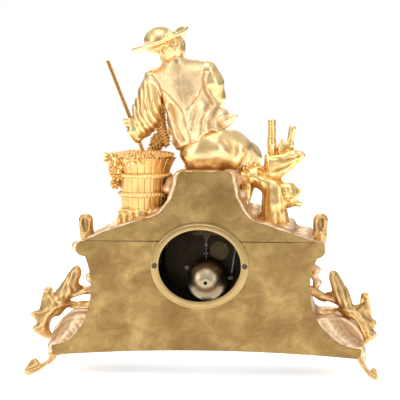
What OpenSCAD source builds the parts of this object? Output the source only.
// Gilt mantel clock with a seated grape harvester on a rock, a tub of grapes and a vine stump.
// +X is the tub's side, +Y is the back, -Y is the dial side, Z is up, and z = 0 is the shelf.

/* [Case] */
// Half of the width of the back plate at its foot
foot_half_w = 171; // [165:1:176]
// Height of the joint between the lower case and the rock
joint_z = 152; // [150:1:154]
// Height of the flat top of the rock, which the figure sits on
rock_top_z = 229; // [226:1:232]
// Outer face of the back plates
back_y = 52; // [50:1:54]
// Thickness of the back plates
plate_t = 3; // [2:0.5:4]
// Front face of the case
front_y = -46; // [-48:1:-46]
// Thickness of the case's walls
wall_t = 4; // [3:0.5:5]

/* [Rear opening] */
// Half of the width of the oval opening
open_a = 45.7; // [44:0.1:46.5]
// Half of the height of the oval opening
open_b = 40; // [39:0.1:41]
// Width of the flat trim ring
ring_w = 9; // [8:0.5:10]

/* [Dial] */
// Height of the hand centre
centre_z = 125; // [124:1:126]
// Radius of the enamel dial
dial_r = 43; // [42:0.5:43.5]
// Length of the minute hand
minute_len = 35; // [30:1:37]
// Length of the hour hand
hour_len = 24; // [20:1:26]

/* [Movement] */
// Radius of the round movement plates
mplate_r = 44; // [43.5:0.1:44.2]
// Clear depth between the movement plates
mdepth = 32; // [32:0.5:32]
// Radius of the bell
bell_r = 23; // [21:0.5:24]
// Distance from the pendulum's bending point to the centre of its bob
pendulum_len = 97; // [90:1:99]
// Radius of the pendulum bob
bob_r = 14; // [11:0.5:15]

/* [Figure] */
// Radius of the harvester's hat brim
brim_r = 31; // [27:0.5:33]
// Radius of the tub at its rim
tub_top_r = 34; // [31:0.5:35]
// Radius of the tub at its foot
tub_foot_r = 25; // [22:0.5:26]

/* [Hidden] */

$fn = 64;
fit = 0.08;             // running clearance round a shaft
gilt = "gold";
plate_brass = "darkgoldenrod";
brass = "goldenrod";
steel = "slategray";

// ---- Outline of the case, seen from behind ----
waist_x = 175;          // centre of the hollow side curve
waist_z = 100;
waist_a = 53.5;         // its half axes
waist_b = 66;
foot_top_z = waist_z - waist_b;
foot_z = 23;            // lower corners of the back plate
arch_h = 7;             // rise of the bottom edge between them
shoulder_r = 8.5;       // rounded upper corners
shoulder_x = 130;
shoulder_z = 143;
flare_left = -9;        // the two lower corners don't spread alike
flare_right = 3;

function hollow_side(n, flare) = [for (i = [0 : n])
    let (a = -31 + 121 * i / n)
    [waist_x + flare - (waist_a + flare) * cos(a), waist_z - waist_b * sin(a)]];
function shoulder(n) = [for (i = [0 : n])
    let (a = 90 - 165 * i / n) [shoulder_x + shoulder_r * cos(a), shoulder_z + shoulder_r * sin(a)]];
function arch(n) = [for (i = [0 : n])
    let (u = 1 - 2 * i / n, mid = (flare_left - flare_right) / 2)
    [mid + u * (foot_half_w + (flare_left + flare_right) / 2), foot_z + arch_h * (1 - u * u)]];
function side_half(flare) = concat([[shoulder_x - 2, joint_z]], shoulder(8), hollow_side(16, flare),
    [[foot_half_w + flare + 4, foot_top_z - 7]]);
function mirrored(p) = [for (i = [len(p) - 1 : -1 : 0]) [-p[i][0], p[i][1]]];
neck_r = 6;             // rounded top corners of the rock's neck
// One side of the rock: shoulder slope, hollow quarter ellipse, then the neck's rounded corner.
function rock_side(neck, rx, rz, grow) = concat(
    [[shoulder_x - 2 + grow, joint_z], [neck + rx + 44 + grow, rock_top_z - rz - 15]],
    [[neck + rx + 22 + grow, rock_top_z - rz - 8]],
    [for (i = [0 : 9]) let (a = 9 * i) [neck + rx * (1 - sin(a)) + grow, rock_top_z - rz * cos(a)]],
    [for (b = [0 : 15 : 90])
        [neck + grow - neck_r * (1 - cos(b)), rock_top_z - neck_r * (1 - sin(b))]]);

module facing_back(y0, y1) { // extrudes an outline drawn as x, z from y0 to y1
    translate([0, y1, 0]) rotate([90, 0, 0]) linear_extrude(y1 - y0) children();
}
module lower_outline() {
    polygon(concat(side_half(flare_left), arch(24), mirrored(side_half(flare_right))));
}
module rock_outline(grow) { // the neck stands a little off the middle
    polygon(concat(rock_side(25, 38, 52, grow), mirrored(rock_side(36, 34, 57, grow))));
}
module oval(a, b) { polygon([for (i = [0 : 71]) [a * cos(5 * i), b * sin(5 * i)]]); }
module along_y(x, z, y0, y1, r) { // a cylinder whose axis runs front to back
    translate([x, y1, z]) rotate([90, 0, 0]) cylinder(r = r, h = y1 - y0);
}

// ---- Case ----
screw_x = 50;           // trim ring screws at three and nine o'clock
strap_half = 4;
dial_hole_r = 46.5;
plate_y0 = back_y - plate_t;
rear_screw_r = 1.5;

module ring_screw_holes(r) {
    for (s = [-1, 1]) along_y(s * screw_x, centre_z, plate_y0 - 1, back_y + 4, r);
}
module back_plate_lower() {
    color(plate_brass) difference() {
        facing_back(plate_y0, back_y) lower_outline();
        facing_back(plate_y0 - 1, back_y + 1) translate([0, centre_z]) oval(open_a + 2, open_b + 2);
        ring_screw_holes(rear_screw_r + 0.2);
    }
}
module back_plate_upper() {
    color(plate_brass) difference() {
        facing_back(plate_y0, back_y) rock_outline(0);
        facing_back(plate_y0 - 1, back_y + 1) translate([0, centre_z]) oval(open_a + 2, open_b + 2);
    }
}
module panel_outline(s) { // bulge that fills the lower part of the hollow of one side
    flare = s > 0 ? flare_left : flare_right;
    polygon(concat([[s * 150, 26], [s * 116, 36], [s * 116, 66]],
        [for (i = [0 : 12]) let (a = 95 - 118 * i / 12)
            [s * (142 + flare + 38 * cos(a)), 34 + 34 * sin(a)]]));
}
module case_shell() { // walls with bulging sides, open above and below, closed by the back plate
    cavity = [[-116, joint_z + 1], [-116, 72], [-150, 38], [-150, foot_z - 2],
        [140, foot_z - 2], [140, 38], [112, 72], [112, joint_z + 1]];
    color(gilt) difference() {
        union() {
            facing_back(front_y, plate_y0) lower_outline();
            facing_back(front_y + 4, plate_y0 - 3) for (s = [-1, 1]) panel_outline(s);
        }
        facing_back(front_y + wall_t, plate_y0 + 1) polygon(cavity);
        along_y(0, centre_z, front_y - 1, front_y + wall_t + 1, dial_hole_r);
    }
}
module rock_mound() { // hollow rock that closes the case above the joint
    cavity = [[-88, joint_z - 1], [-84, 157], [-60, 164], [-44, 182], [-34, 205], [-30, 222],
        [18, 222], [22, 205], [34, 184], [58, 169], [84, 163], [88, joint_z - 1]];
    color(gilt) difference() {
        facing_back(front_y, plate_y0) rock_outline(4);
        facing_back(front_y + wall_t, plate_y0 + 1) polygon(cavity);
        along_y(0, centre_z, front_y - 1, front_y + wall_t + 1, dial_hole_r);
    }
}

// ---- Ornaments ----
ear_x = 131;
ear_top_z = 180;
ear_y = 10;             // middle of the ear's depth
module ear(s) {         // cupped upright lobe on each shoulder
    color(gilt) difference() {
        union() {
            along_y(s * ear_x, ear_top_z - 8, ear_y - 9, ear_y + 9, 8);
            facing_back(ear_y - 9, ear_y + 9) polygon([[s * (ear_x - 8), ear_top_z - 8],
                [s * (ear_x + 8), ear_top_z - 8], [s * (ear_x + 6), 147], [s * (ear_x - 9), 147]]);
        }
        facing_back(ear_y - 10, ear_y + 10) translate([s * (ear_x + 2), ear_top_z - 10]) circle(r = 4);
        facing_back(ear_y - 10, ear_y + 10) lower_outline();
        ground();
    }
}
// One leaf spray, as x, z outward from the case's waist.
leaf_outer = [[124, 98], [136, 104], [141, 126], [150, 120], [154, 104], [163, 98], [168, 102],
    [173, 92], [176, 74], [188, 66], [182, 58], [189, 50], [178, 43], [172, 34], [166, 38]];
leaf_inner = [[171, 50], [167, 66], [160, 76], [146, 82], [132, 84], [124, 90]];
module leaf_spray(s) {
    spread = s > 0 ? 0 : 0.09;
    color(gilt) difference() {
        translate([0, 26, 0]) rotate([90, 0, 0]) linear_extrude(12)
            polygon([for (p = concat(leaf_outer, leaf_inner)) [s * (p[0] + spread * (p[0] - 124)), p[1]]]);
        facing_back(front_y - 20, back_y + 20) lower_outline();
        facing_back(front_y - 20, back_y + 20) panel_outline(s);
    }
}
foot_pad_r = 5;
foot_tip_x = 193;
front_tip_x = 184;      // the front feet spread less
module foot(sx, sy) {   // scroll foot that springs from a lower corner
    tip = sy > 0 ? foot_tip_x : front_tip_x;
    y_in = sy > 0 ? 40 : front_y + 10;
    y_out = sy > 0 ? 55 : -55;
    color(gilt) difference() {
        union() {
            translate([sx * tip, y_out, 0]) cylinder(r = foot_pad_r, h = 5);
            hull() {
                translate([sx * tip, y_out, 4]) cylinder(r = 4.5, h = 4, $fn = 24);
                translate([sx * (tip - 11), y_out - sy * 6, 10]) sphere(r = 4.5, $fn = 20);
            }
            hull() {
                translate([sx * (tip - 11), y_out - sy * 6, 10]) sphere(r = 4.5, $fn = 20);
                translate([sx * 168, y_in, 24]) sphere(r = 7, $fn = 20);
            }
            hull() {
                translate([sx * 168, y_in, 24]) sphere(r = 7, $fn = 20);
                translate([sx * 150, y_in, 24]) sphere(r = 5, $fn = 20);
            }
        }
        facing_back(front_y - 20, back_y + 20) lower_outline();
        facing_back(front_y - 20, back_y + 20) panel_outline(sx);
        facing_back(front_y - 20, back_y + 20) polygon([[-160, 10], [160, 10], [160, 34], [-160, 34]]);
    }
}

// ---- Figure: a seated grape harvester, seen from behind in the named view ----
limb_fn = 20;
module limb(points) {   // points are [position, radius]; each pair is one rounded stretch
    for (i = [0 : len(points) - 2]) hull() for (p = [points[i], points[i + 1]])
        translate(p[0]) sphere(r = p[1], $fn = limb_fn);
}
module torso_form() {
    limb([[[-8, 8, 262], 24], [[12, 6, 296], 22], [[24, 4, 326], 20]]);
    limb([[[58, 2, 328], 11], [[24, 2, 334], 15], [[-10, 2, 338], 11]]);
    hull() { // flared skirt of the waistcoat
        translate([12, 8, 266]) sphere(r = 20, $fn = limb_fn);
        translate([-34, 8, 288]) sphere(r = 5, $fn = limb_fn);
        translate([-14, 10, 268]) sphere(r = 22, $fn = limb_fn);
    }
    limb([[[26, 2, 336], 13], [[30, 0, 345], 10.5]]);
}
module head_form() {
    limb([[[30, 1, 344], 9], [[36, -4, 358], 9.5]]);
    hull() {
        translate([39, -4, 366]) sphere(r = 16, $fn = 24);
        translate([46, -14, 360]) sphere(r = 9, $fn = 24);
    }
}
module figure_torso() {
    color(gilt) difference() {
        torso_form();
        along_y(28, 347, 3, 30, 1.65);
    }
}
module figure_head() {
    color(gilt) difference() {
        head_form();
        torso_form();
        along_y(28, 347, 3, 30, 1.65);
    }
}
module figure_hat() {
    color(gilt) difference() {
        translate([46, -7, 366.5]) rotate([10, 16, 0]) {
            cylinder(r1 = brim_r - 3, r2 = brim_r, h = 3.5);
            intersection() {
                scale([1, 1, 1.247]) sphere(r = 20);
                cylinder(r = 21, h = 30);
            }
        }
        head_form();
    }
}
stick_top = [108, 4, 351];
stick_end = [64.5, 4, 240];
stick_r = 2.2;
module between(a, b, r) { // a cylinder from a to b
    d = b - a;
    translate(a) rotate([0, atan2(norm([d[0], d[1]]), d[2]), 0 + atan2(d[1], d[0])])
        cylinder(r = r, h = norm(d));
}
module arm_left_form() { // the arm that holds the pestle
    limb([[[58, 2, 330], 11], [[62, 8, 300], 12], [[60, 10, 278], 13]]);
    limb([[[60, 10, 276], 12], [[76, 6, 276], 8.5], [[86.6, 4, 286], 7.5]]);
}
module arm_right_form() { // the hand holds a bunch of grapes, cast with it
    limb([[[46, -28, 264], 6.5], [[54, -23, 254], 6.5]]);
    limb([[[-12, 0, 336], 11], [[-20, -8, 308], 11.5], [[4, -34, 290], 9]]);
    limb([[[4, -34, 290], 9], [[34, -34, 276], 8], [[46, -28, 264], 6.5]]);
}
module figure_arm_left() {
    color(gilt) difference() {
        arm_left_form();
        torso_form();
        between(stick_top, stick_end, stick_r + 0.02);
    }
}
module figure_arm_right() {
    color(gilt) difference() {
        arm_right_form();
        torso_form();
        head_form();
    }
}
module seat_form() {    // the thigh that the stump's arm meets
    limb([[[-4, 10, 250], 24], [[-24, 2, 248], 22], [[-52, -28, 244], 15]]);
}
module figure_legs() {  // breeches seated on the rock, with the shins down its front
    color(gilt) difference() {
        union() {
            seat_form();
            limb([[[-4, 4, 248], 22], [[8, -46, 250], 13]]);
            limb([[[-50, -30, 243], 13], [[-40, -48, 206], 8.5]]);
            limb([[[8, -46, 250], 12.5], [[14, -50, 206], 8.5]]);
        }
        torso_form();
        arm_right_form();
        ground();
    }
}
module collar_screw() {
    color(steel) along_y(28, 347, 3, 11.5, 1.6);
}
module pestle() { color(brass) between(stick_top, stick_end, stick_r); }

// ---- Tub and stump ----
tub_x = 67;
tub_y = 4;
tub_foot_z = 182;
tub_h = 56;
module ground() { // the rock's upper surface, which the tub and the stump stand on
    facing_back(front_y, back_y) {
        rock_outline(4);
        translate([-shoulder_x, 100]) square([2 * shoulder_x, joint_z - 99]);
    }
}
module tub() {          // staved tub with two hoops on a square of rock
    color(gilt) difference() {
        union() {
            translate([tub_x, tub_y, tub_foot_z]) difference() {
                cylinder(r1 = tub_foot_r, r2 = tub_top_r, h = tub_h);
                translate([0, 0, 5]) cylinder(r1 = tub_foot_r - 2.5, r2 = tub_top_r - 2.5, h = tub_h);
            }
            for (z = [12, 37]) translate([tub_x, tub_y, tub_foot_z + z]) rotate_extrude()
                translate([tub_foot_r + (tub_top_r - tub_foot_r) * z / tub_h - 0.8, 0]) circle(r = 1.6);
            translate([tub_x - 24, tub_y - 24, 160]) cube([48, 48, tub_foot_z - 160]);
        }
        ground();
    }
}
module tub_grapes() {
    translate([tub_x, tub_y, tub_foot_z + 5]) color(gilt) difference() {
        union() {
            cylinder(r1 = tub_foot_r - 2.6, r2 = tub_top_r - 4, h = tub_h - 8);
            translate([0, 0, tub_h - 8.01]) scale([1, 1, 0.45]) sphere(r = tub_top_r - 4, $fn = 32);
        }
        translate([-tub_x, -tub_y, -tub_foot_z - 5]) between(stick_top, stick_end, stick_r + 0.05);
    }
}
module vine_stump() {
    color(gilt) difference() {
        union() {
            limb([[[-78, 6, 160], 15], [[-80, 4, 184], 11], [[-92, 6, 202], 14]]);
            limb([[[-76, 4, 190], 8], [[-62, 2, 216], 7], [[-44, 4, 218], 7]]);
            limb([[[-90, 2, 214], 8], [[-84, -2, 232], 8], [[-112, -2, 240], 5]]);
            hull() {
                translate([-80, -2, 228]) sphere(r = 5, $fn = 16);
                translate([-81, -2, 282]) cylinder(r = 3.6, h = 1, $fn = 16);
            }
            hull() {
                translate([-98, -2, 238]) sphere(r = 4, $fn = 16);
                translate([-108, -4, 275]) cylinder(r = 3.4, h = 1, $fn = 16);
            }
        }
        ground();
        seat_form();
    }
}

// ---- Dial, hands and front bezel ----
dial_y = -44;           // front face of the dial
dial_t = 1.5;
mf_y = -34;             // inner face of the front movement plate
mb_y = mf_y + mdepth;   // inner face of the back movement plate
mplate_t = 2;
arbor_r = 1.2;          // centre arbor
cannon_r = 2.1;
pipe_r = 3;
mount_r = 46.2;
hinge_x = -55.5;
hinge_y = -52;
hinge_half = 9;
hinge_pin_r = 1;

// Places of the arbors in the movement, from the hand centre.
going_p = [18.6, -9];
strike_p = [-18.6, -9];
inter_p = [0, -16.8];
escape_p = [-4, 16.2];
pallet_p = [-4, 28.7];

module front_ring(y0, y1, r_out, r_in) {
    difference() {
        along_y(0, centre_z, y0, y1, r_out);
        along_y(0, centre_z, y0 - 1, y1 + 1, r_in);
    }
}
knuckle = hinge_half * 0.84; // height of the door's knuckle
lug = hinge_half * 0.52;     // height of each of the mount's knuckles
module bezel_mount() {
    color(brass) difference() {
        union() {
            front_ring(front_y - 0.2, mf_y - mplate_t + 1, mount_r, mplate_r + 0.1);
            front_ring(front_y - 2.5, front_y, 52, mplate_r + 0.1);
            front_ring(mf_y - mplate_t - 1.5, mf_y - mplate_t, mount_r, mplate_r - 1.4);
            for (s = [-1, 1]) translate([hinge_x, hinge_y, centre_z + s * hinge_half * 0.72]) {
                translate([0, 0, -lug / 2]) cylinder(r = 2.2, h = lug);
                translate([-2, 0, -lug / 2]) cube([4, front_y - hinge_y, lug]);
                translate([-2, 3.7, -lug / 2]) cube([7, front_y - hinge_y - 3.7, lug]);
            }
        }
        translate([hinge_x, hinge_y, centre_z - 20]) cylinder(r = hinge_pin_r + fit, h = 40);
    }
}
module bezel_door() {
    color(brass) difference() {
        union() {
            front_ring(front_y - 7.5, front_y - 2.8, 51, 45.2);
            front_ring(front_y - 8.3, front_y - 7.4, 49, 45.2);
            translate([hinge_x, hinge_y, centre_z - knuckle / 2]) {
                cylinder(r = 2.2, h = knuckle);
                translate([0, -1.2, 0]) cube([6, 2.2, knuckle]);
            }
        }
        translate([hinge_x, hinge_y, centre_z - 20]) cylinder(r = hinge_pin_r, h = 40);
        front_ring(front_y - 6.2, front_y - 4.4, 47, 40);
    }
}
module bezel_glass() {  // domed glass held in the bezel's groove
    glass_r = 46.8;
    dome = 8;
    curve = (glass_r * glass_r + dome * dome) / (2 * dome);
    color("lightblue", 0.4) translate([0, front_y - 4.4, centre_z]) rotate([90, 0, 0]) {
        difference() {
            cylinder(r = glass_r, h = 1.8);
            translate([0, 0, -1]) cylinder(r = 44, h = 4);
        }
        intersection() {
            cylinder(r = 44, h = 20);
            translate([0, 0, dome - curve]) difference() {
                sphere(r = curve + 0.8, $fn = 96);
                sphere(r = curve - 0.8, $fn = 96);
            }
        }
    }
}
module bezel_hinge_pin() {
    color(steel) translate([hinge_x, hinge_y, centre_z - hinge_half - 1])
        cylinder(r = hinge_pin_r, h = 2 * hinge_half + 2);
}
module dial() {
    foot_places = [20, 150, 270];
    color("ivory") difference() {
        along_y(0, centre_z, dial_y, dial_y + dial_t, dial_r);
        along_y(0, centre_z, dial_y - 1, dial_y + 3, pipe_r + 0.3);
        for (p = [going_p, strike_p]) along_y(p[0], centre_z + p[1], dial_y - 1, dial_y + 3, 3);
    }
    color(brass) for (a = foot_places)
        along_y(38 * cos(a), centre_z + 38 * sin(a), dial_y + dial_t, mf_y - mplate_t, 1);
}
hour_y = -47.6;         // rear face of the hour hand
minute_y = -49.6;       // rear face of the minute hand
hand_t = 0.6;
module moon_hand(length, y, bore) { // hand with an open moon near its tip
    moon = length * 0.1;
    facing_back(y - hand_t, y) difference() {
        union() {
            circle(r = bore + 1.4);
            translate([0, length * 0.68]) circle(r = moon + 0.8);
            polygon([[-1, 0], [1, 0], [0.7, length * 0.62], [-0.7, length * 0.62]]);
            polygon([[-1.1, length * 0.74], [1.1, length * 0.74], [0, length]]);
        }
        circle(r = bore - 0.5);
        translate([0, length * 0.68]) circle(r = moon - 0.5);
    }
}
hand_angle_hour = 57;   // shows a few minutes before two
hand_angle_minute = 324;
cannon_teeth = 12;
minute_teeth = 36;
minute_pinion = 10;
hour_teeth = 40;
motion_d = 9.6;         // from the hand centre up to the minute wheel
module minute_hand() {  // with the cannon pinion that carries it
    color(steel) translate([0, 0, centre_z]) {
        rotate([0, hand_angle_minute, 0]) moon_hand(minute_len, minute_y, cannon_r);
        difference() {
            union() {
                facing_back(-52, -38) circle(r = cannon_r);
                facing_back(-38.4, -37) gear_shape(cannon_teeth, 2 * motion_d / 48, true, 90);
            }
            along_y(0, 0, -55, -30, arbor_r + 0.03);
        }
    }
}
module hour_hand() {    // with its pipe and wheel
    color(steel) translate([0, 0, centre_z]) {
        rotate([0, hand_angle_hour, 0]) moon_hand(hour_len, hour_y, pipe_r);
        difference() {
            union() {
                along_y(0, 0, -48.6, -39.6, pipe_r);
                facing_back(-41, -39.8) gear_shape(hour_teeth, 2 * motion_d / 50, false, 90);
            }
            along_y(0, 0, -55, -30, cannon_r + fit);
        }
    }
}
module minute_wheel() {
    color(brass) translate([0, 0, centre_z + motion_d]) difference() {
        union() {
            facing_back(-38.4, -37.2) gear_shape(minute_teeth, 2 * motion_d / 48, false, -90 + 5);
            facing_back(-41.2, -38.4) gear_shape(minute_pinion, 2 * motion_d / 50, true, -90 + 18);
        }
        along_y(0, 0, -45, -30, 0.8 + fit);
    }
}

// ---- Rear ring, screws and straps ----
module rear_ring() {
    color(brass) difference() {
        union() {
            facing_back(back_y, back_y + 3) translate([0, centre_z]) difference() {
                oval(open_a + ring_w, open_b + ring_w - 1);
                oval(open_a, open_b);
            }
            facing_back(plate_y0 + 0.2, back_y) translate([0, centre_z]) difference() {
                oval(open_a + 1.7, open_b + 1.7);
                oval(open_a, open_b);
            }
        }
        ring_screw_holes(rear_screw_r + 0.2);
    }
}
module ring_screws() {  // the two long screws that draw the straps back
    color(steel) for (s = [-1, 1]) translate([s * screw_x, 0, centre_z]) difference() {
        union() {
            along_y(0, 0, back_y + 3, back_y + 4.6, 3);
            along_y(0, 0, plate_y0 - 9, back_y + 3, rear_screw_r);
        }
        translate([-4, back_y + 3.9, -0.4]) cube([8, 2, 0.8]);
    }
}
module movement_straps() { // bars from the front bezel back to the ring's screws
    color(brass) for (s = [-1, 1]) translate([s * screw_x, 0, centre_z]) difference() {
        union() {
            translate([-2.5, mf_y - 1, -strap_half]) cube([5, plate_y0 - mf_y + 1, 2 * strap_half]);
            translate([s > 0 ? -5.5 : -2.5, mf_y - 1, -strap_half]) cube([8, 2, 2 * strap_half]);
        }
        along_y(0, 0, plate_y0 - 10, plate_y0 + 1, rear_screw_r + 0.05);
        translate([-s * screw_x, 0, 0]) along_y(0, 0, mf_y - 3, mf_y + 4, mplate_r + 0.3);
    }
}

// ---- Movement: gears ----
// Straight-flanked teeth. A gear's first tooth points along phase, in degrees.
function gear_points(n, m, leaf, phase) = let (
        add = leaf ? 0.5 : 0.8, ded = leaf ? 1.15 : 1.1,
        root = leaf ? 0.46 : 0.56, tip = leaf ? 0.3 : 0.26, r = n * m / 2)
    [for (i = [0 : n - 1]) for (k = [0 : 3]) let (
        w = (k == 0 ? -root : k == 1 ? -tip : k == 2 ? tip : root) / 2,
        a = phase + 360 * (i + w) / n, q = (k == 0 || k == 3) ? r - ded * m : r + add * m)
        [q * cos(a), q * sin(a)]];
module gear_shape(n, m, leaf, phase) { polygon(gear_points(n, m, leaf, phase)); }
module pinned(p) { translate([p[0], 0, centre_z + p[1]]) children(); }
function far(p, q) = norm(q - p);
function angle_to(p, q) = atan2(q[1] - p[1], q[0] - p[0]);
// Phase that turns a pinion's gap between two leaves towards q.
function gap_to(p, q, n) = angle_to(p, q) + 180 / n;
// The point at distances da from a and db from b, on the left of a to b if side is 1.
function meet(a, da, b, db, side) = let (d = far(a, b), x = (da * da - db * db + d * d) / (2 * d),
        h = sqrt(da * da - x * x), u = (b - a) / d)
    [a[0] + u[0] * x - side * u[1] * h, a[1] + u[1] * x + side * u[0] * h];
function at_angle(p, d, a) = [p[0] + d * cos(a), p[1] + d * sin(a)];

centre_p = [0, 0];
barrel_n = 84;          // teeth on each barrel
inter_leaf = 12;
barrel_m = 2 * far(going_p, inter_p) / (barrel_n + inter_leaf);
inter_n = 72;
centre_leaf = 12;
inter_m = 2 * far(inter_p, centre_p) / (inter_n + centre_leaf);
centre_n = 84;
third_leaf = 7;
centre_m = 0.36;
third_n = 84;
escape_leaf = 7;
third_m = 0.30;
centre_d = centre_m * (centre_n + third_leaf) / 2;
third_d = third_m * (third_n + escape_leaf) / 2;
third_p = meet(centre_p, centre_d, escape_p, third_d, -1);
escape_teeth = 40;
escape_r = 9.5;
second_leaf = 12;
second_p = at_angle(strike_p, barrel_m * (barrel_n + second_leaf) / 2, 90);
second_n = 60;
pin_leaf = 8;
strike_m = 0.30;
pin_p = at_angle(second_p, strike_m * (second_n + pin_leaf) / 2, 130);
pin_n = 56;
warning_leaf = 7;
warning_p = at_angle(pin_p, strike_m * (pin_n + warning_leaf) / 2, 50);
warning_n = 49;
fly_leaf = 7;
fly_m = 0.28;
fly_p = at_angle(warning_p, fly_m * (warning_n + fly_leaf) / 2, 20);
hammer_p = [-37, 14];
pivot_r = 0.5;
train = [inter_p, third_p, escape_p, pin_p, warning_p, fly_p];
pillar_angles = [30, 95, 180, 270];
pillar_r = 40;
staff_r = 0.8;          // wheel arbors between the plates

module wheel(p, n, m, y, t, phase) {  // crossed-out wheel, rear face at y
    r = n * m / 2;
    pinned(p) facing_back(y - t, y) difference() {
        gear_shape(n, m, false, phase);
        for (a = [45 : 90 : 315]) rotate(a) translate([r * 0.52, 0]) circle(r = r * 0.24);
    }
}
module pinion(p, n, m, y, h, phase) { pinned(p) facing_back(y - h, y) gear_shape(n, m, true, phase); }
module staff(p) {       // a wheel's arbor with its two pivots
    pinned(p) {
        along_y(0, 0, mf_y + 0.2, mb_y - 0.2, staff_r);
        along_y(0, 0, mf_y - mplate_t, mb_y + mplate_t, pivot_r);
    }
}
module plate_holes(y0, y1) {
    for (p = train) pinned(p) along_y(0, 0, y0, y1, pivot_r + 0.06);
    pinned(hammer_p) along_y(0, 0, y0, y1, 1.1);
    pinned(centre_p) along_y(0, 0, y0, y1, arbor_r + fit);
    for (p = [going_p, strike_p]) pinned(p) along_y(0, 0, y0, y1, barrel_arbor_r + fit);
}
barrel_arbor_r = 2.2;
module movement_front_plate() { // with the pillars and the minute wheel's stud
    color(brass) difference() {
        union() {
            pinned(centre_p) along_y(0, 0, mf_y - mplate_t, mf_y, mplate_r);
            for (a = pillar_angles) pinned(at_angle(centre_p, pillar_r, a)) along_y(0, 0, mf_y, mb_y, 2);
            pinned([0, motion_d]) along_y(0, 0, -41.8, mf_y - mplate_t, 0.8);
        }
        plate_holes(mf_y - 3, mf_y + 1);
        pinned(pallet_p) along_y(0, 0, mf_y - 3, mf_y + 1, pivot_r + 0.06);
        pinned(second_p) along_y(0, 0, mf_y - 3, mf_y + 1, pivot_r + 0.06);
        for (p = [going_p, strike_p]) pinned([p[0] + sign(p[0]) * click_off[0], p[1] + click_off[1]])
            along_y(0, 0, mf_y - 3, mf_y + 1, pivot_r + 0.06);
    }
}
module movement_back_plate() {
    color(brass) difference() {
        pinned(centre_p) along_y(0, 0, mb_y, mb_y + mplate_t, mplate_r);
        plate_holes(mb_y - 1, mb_y + 3);
        pinned(pallet_p) along_y(0, 0, mb_y - 1, mb_y + 3, 2.4);
        pinned(second_p) along_y(0, 0, mb_y - 1, mb_y + 3, 1.6 + fit);
    }
}

// ---- Movement: going train ----
drum_r = 16.2;
drum_y0 = mb_y - 27;
drum_y1 = mb_y - 8;
module barrel(p, teeth_y, phase) { // spring barrel, hollow, with its great wheel
    color(brass) difference() {
        union() {
            pinned(p) along_y(0, 0, drum_y0, drum_y1, drum_r);
            pinned(p) facing_back(teeth_y - 2, teeth_y) gear_shape(barrel_n, barrel_m, false, phase);
        }
        pinned(p) along_y(0, 0, drum_y0 + 2, drum_y1 - 2, drum_r - 1.5);
        pinned(p) along_y(0, 0, drum_y0 - 1, drum_y1 + 1, barrel_arbor_r + fit);
    }
}
ratchet_r = 7;
ratchet_n = 20;
module winding_arbor(p) { // barrel arbor with its ratchet and its square for the key
    color(steel) pinned(p) {
        along_y(0, 0, mf_y - 5, mb_y + mplate_t, barrel_arbor_r);
        translate([-1.5, -46.8, -1.5]) cube([3, 47 + mf_y - 4, 3]);
        facing_back(mf_y - 4.4, mf_y - 3) polygon([for (i = [0 : ratchet_n - 1]) for (k = [0, 1])
            let (a = 360 * (i + k * 0.12) / ratchet_n, q = ratchet_r - k * 1.1) [q * cos(a), q * sin(a)]]);
    }
}
module going_barrel() { barrel(going_p, drum_y1, angle_to(going_p, inter_p)); }
module going_arbor() { winding_arbor(going_p); }
module strike_barrel() { barrel(strike_p, drum_y0 + 2, angle_to(strike_p, second_p)); }
module strike_arbor() { winding_arbor(strike_p); }
module intermediate_wheel() {
    color(brass) union() {
        pinion(inter_p, inter_leaf, barrel_m, mb_y - 7, 4, gap_to(inter_p, going_p, inter_leaf));
        wheel(inter_p, inter_n, inter_m, mb_y - 4.8, 1.2, angle_to(inter_p, centre_p));
        staff(inter_p);
    }
}
module centre_wheel() {
    color(brass) union() {
        pinion(centre_p, centre_leaf, inter_m, mb_y - 4.2, 2.4, gap_to(centre_p, inter_p, centre_leaf));
        wheel(centre_p, centre_n, centre_m, mb_y - 29.3, 1.2, angle_to(centre_p, third_p));
        pinned(centre_p) along_y(0, 0, -53, mb_y + mplate_t, arbor_r);
    }
}
module third_wheel() {
    color(brass) union() {
        pinion(third_p, third_leaf, centre_m, mb_y - 28.8, 2.2, gap_to(third_p, centre_p, third_leaf));
        wheel(third_p, third_n, third_m, mb_y - 2.2, 1.2, angle_to(third_p, escape_p));
        staff(third_p);
    }
}
module escape_wheel() {
    color(brass) union() {
        pinion(escape_p, escape_leaf, third_m, mb_y - 1.4, 3, gap_to(escape_p, third_p, escape_leaf));
        pinned(escape_p) facing_back(mb_y - 14, mb_y - 12.8) difference() {
            polygon([for (i = [0 : escape_teeth - 1]) for (k = [0, 1])
                let (a = 360 * (i + k * 0.25) / escape_teeth, q = escape_r - k * 1.1)
                [q * cos(a), q * sin(a)]]);
            for (a = [0 : 90 : 270]) rotate(a) translate([escape_r * 0.5, 0]) circle(r = escape_r * 0.22);
        }
        staff(escape_p);
    }
}
pendulum_y = 8;         // plane in which the pendulum swings
crutch_len = 21;
module pallets_crutch() {
    tip = 9.2;          // from the pallet arbor to each pallet
    color(steel) pinned(pallet_p) {
        along_y(0, 0, mf_y - mplate_t, mf_y + 0.3, pivot_r);
        along_y(0, 0, mf_y + 0.2, 3.6, 1);
        along_y(0, 0, 3.5, 6, pivot_r);
        facing_back(mb_y - 14.2, mb_y - 12.6) difference() {
            union() for (s = [-1, 1])
                polygon([[0, 2.2], [s * 5, 0.5], [s * (tip + 0.4), -tip + 3.4], [s * tip * 0.92, -tip + 2.4],
                    [s * 4.6, -1.8], [0, -1.6]]);
            circle(r = 0.9);
        }
        difference() {
            union() {
                translate([-1.1, 1, -crutch_len]) cube([2.2, 1.2, crutch_len]);
                translate([-2.2, 1, -crutch_len]) cube([4.4, pendulum_y + 1, 2]);
            }
            translate([-1.2, pendulum_y - 1.4, -crutch_len - 1]) cube([2.4, 5, 4]);
        }
    }
}
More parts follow.
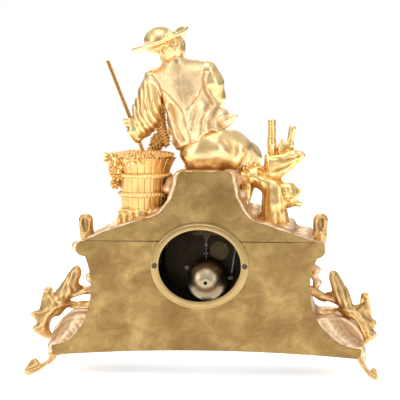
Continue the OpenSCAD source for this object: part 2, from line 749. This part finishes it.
module suspension_cock() { // bridge over the pallet arbor, with the pendulum's slotted head
    color(brass) pinned(pallet_p) difference() {
        union() {
            translate([-15, 4, 0.5]) cube([30, 2, 8]);
            for (s = [-1, 1]) translate([s * 13 - 2, 0, 0.5]) cube([4, 4.01, 8]);
            translate([-3.5, 4, -3]) cube([7, 2, 4]);
            translate([-4, 5.9, 3.4]) cube([8, 5.1, 5.1]);
        }
        along_y(0, 0, 3, 7, pivot_r + 0.06);
        translate([-0.8, 6.5, 3]) cube([1.6, 5, 4]);
        for (s = [-1, 1]) along_y(s * 13, 4.5, -1, 7, 1.2);
    }
}
module suspension_spring() { // thin blade with a brass clamp at its foot
    color(steel) pinned(pallet_p) {
        translate([-0.2, pendulum_y - 1.2, -9]) cube([0.4, 2.4, 13.5]);
        translate([-1.5, pendulum_y - 1.2, -12]) cube([3, 2.4, 3.2]);
    }
}
rod_end = pendulum_len + bob_r + 9;
module pendulum_rod() {
    color(steel) pinned(pallet_p) translate([0, pendulum_y, -rod_end]) cylinder(r = 1, h = rod_end - 12);
}
module pendulum_bob() { // lens-shaped bob that slides on the rod
    edge = [for (i = [0 : 8]) [bob_r * sin(90 * i / 8), 4.5 - 4.1 * pow(i / 8, 4)]];
    color(brass) pinned(pallet_p) translate([0, pendulum_y, -pendulum_len]) difference() {
        rotate([90, 0, 0]) rotate_extrude()
            polygon(concat(edge, [for (i = [8 : -1 : 0]) [edge[i][0], -edge[i][1]]]));
        translate([0, 0, -30]) cylinder(r = 1.05, h = 60);
    }
}
module rating_nut() {
    color(brass) pinned(pallet_p) translate([0, pendulum_y, -pendulum_len - bob_r - 3]) difference() {
        union() {
            cylinder(r = 3, h = 2.2);
            cylinder(r = 1.6, h = 3);
        }
        translate([0, 0, -1]) cylinder(r = 1.05, h = 5);
    }
}

// ---- Movement: striking train ----
module count_wheel() {  // second wheel of the striking train, with the count wheel behind the plate
    color(brass) union() {
        pinion(second_p, second_leaf, barrel_m, drum_y0 + 3, 4, gap_to(second_p, strike_p, second_leaf));
        wheel(second_p, second_n, strike_m, mb_y - 5.2, 1, angle_to(second_p, pin_p));
        pinned(second_p) {
            along_y(0, 0, mf_y - mplate_t, mf_y + 0.3, pivot_r);
            along_y(0, 0, mf_y + 0.2, mb_y - 0.2, 1);
            along_y(0, 0, mb_y - 0.3, 1.2, 1.6);
            difference() {
                along_y(0, 0, 0.8, 2, 11);
                for (a = [0 : 30 : 330]) rotate([0, a, 0]) translate([9.8, 0, -0.6]) cube([2, 3, 1.2]);
            }
            along_y(0, 0, 2, 3.2, 6);
        }
    }
}
module pin_wheel() {
    color(brass) union() {
        pinion(pin_p, pin_leaf, strike_m, mb_y - 4.6, 2.4, gap_to(pin_p, second_p, pin_leaf));
        wheel(pin_p, pin_n, strike_m, mb_y - 19, 1, angle_to(pin_p, warning_p));
        for (a = [18 : 36 : 342])
            pinned(at_angle(pin_p, 7.2, a)) along_y(0, 0, mb_y - 19.5, mb_y - 16.5, 0.4);
        staff(pin_p);
    }
}
module warning_wheel() {
    color(brass) union() {
        pinion(warning_p, warning_leaf, strike_m, mb_y - 18, 3, gap_to(warning_p, pin_p, warning_leaf));
        wheel(warning_p, warning_n, fly_m, mb_y - 24, 1, angle_to(warning_p, fly_p));
        staff(warning_p);
    }
}
module fly() {
    color(brass) union() {
        pinion(fly_p, fly_leaf, fly_m, mb_y - 23, 3, gap_to(fly_p, warning_p, fly_leaf));
        pinned(fly_p) translate([-5.3, mb_y - 22, -0.35]) cube([10.6, 6, 0.7]);
        staff(fly_p);
    }
}
bell_p = [-5.5, -21];
bell_rim_y = 14;
bell_t = 1;
hammer_head = at_angle(bell_p, 27, 172);
module hammer() {       // lifted away from the bell, and sprung back
    d = hammer_head - hammer_p;
    color(steel) pinned(hammer_p) {
        along_y(0, 0, mf_y - mplate_t, 6.5, 1);
        rotate([0, -atan2(d[1], d[0]), 0]) {
            translate([0, 4, -0.8]) cube([norm(d), 2, 1.6]);
            translate([norm(d) - 1.4, 4, -1.4]) cube([2.8, 13, 2.8]);
        }
        translate([0, mb_y - 18.6, -0.6]) rotate([0, -20, 0]) cube([4.9, 1.8, 1.2]);
    }
    color(brass) pinned(hammer_head) translate([0, 17, 0])
        rotate([0, 90 - angle_to(hammer_head, bell_p), 0]) translate([0, 0, -2.6]) cylinder(r = 2.4, h = 5.2);
}
bell_top_y = bell_rim_y + bell_r;
module bell() {         // open dome that faces the movement
    color(brass) pinned(bell_p) difference() {
        union() {
            translate([0, bell_rim_y, 0]) rotate([-90, 0, 0]) intersection() {
                difference() {
                    sphere(r = bell_r);
                    sphere(r = bell_r - bell_t);
                }
                cylinder(r = bell_r + 1, h = bell_r + 1);
            }
            along_y(0, 0, bell_top_y - 1.8, bell_top_y + 0.3, 5);
        }
        along_y(0, 0, bell_rim_y, bell_top_y + 2, 2 + fit);
    }
}
module bell_stand() {   // foot on the back plate, arm behind the pendulum, post inside the bell
    color(steel) pinned(bell_p) {
        along_y(17, -6, 0, 17, 1.8);
        translate([0, 15, 0]) rotate([0, atan2(6, 17), 0]) translate([-1.6, 0, -1.6]) cube([19.6, 2, 3.2]);
        along_y(0, 0, 15, bell_top_y - 1.8, 3.4);
        along_y(0, 0, 15, bell_top_y + 3.3, 2);
    }
}
module bell_nut() {
    color(brass) pinned(bell_p) difference() {
        along_y(0, 0, bell_top_y + 0.3, bell_top_y + 2.7, 5);
        along_y(0, 0, bell_top_y, bell_top_y + 3, 2);
    }
}
click_off = [11.5, -6]; // from a barrel's arbor to its click's pivot
module click(p) {       // pawl that lies against the ratchet
    s = sign(p[0]);
    pinned([p[0] + s * click_off[0], p[1] + click_off[1]]) color(steel) {
        along_y(0, 0, mf_y - 4.8, mf_y - mplate_t - 0.2, 1.6);
        along_y(0, 0, mf_y - mplate_t - 0.3, mf_y, pivot_r);
        translate([s > 0 ? -5.6 : 0, mf_y - 4.4, 0.2]) cube([5.6, 1.4, 1.6]);
    }
}
module click_going() { click(going_p); }
module click_strike() { click(strike_p); }

back_plate_lower();
back_plate_upper();
case_shell();
rock_mound();
ear(1);  // ear_left
ear(-1);  // ear_right
leaf_spray(1);  // leaf_spray_left
leaf_spray(-1);  // leaf_spray_right
foot(1, 1);  // foot_back_left
foot(-1, 1);  // foot_back_right
foot(1, -1);  // foot_front_left
foot(-1, -1);  // foot_front_right
figure_torso();
figure_head();
figure_hat();
figure_arm_left();
figure_arm_right();
figure_legs();
collar_screw();
pestle();
tub();
tub_grapes();
vine_stump();
bezel_mount();
bezel_door();
bezel_glass();
bezel_hinge_pin();
dial();
minute_hand();
hour_hand();
rear_ring();
ring_screws();
movement_straps();
movement_front_plate();
movement_back_plate();
going_barrel();
going_arbor();
strike_barrel();
strike_arbor();
intermediate_wheel();
centre_wheel();
third_wheel();
escape_wheel();
pallets_crutch();
suspension_cock();
suspension_spring();
pendulum_rod();
pendulum_bob();
rating_nut();
minute_wheel();
count_wheel();
pin_wheel();
warning_wheel();
fly();
hammer();
bell();
bell_stand();
bell_nut();
click_going();
click_strike();
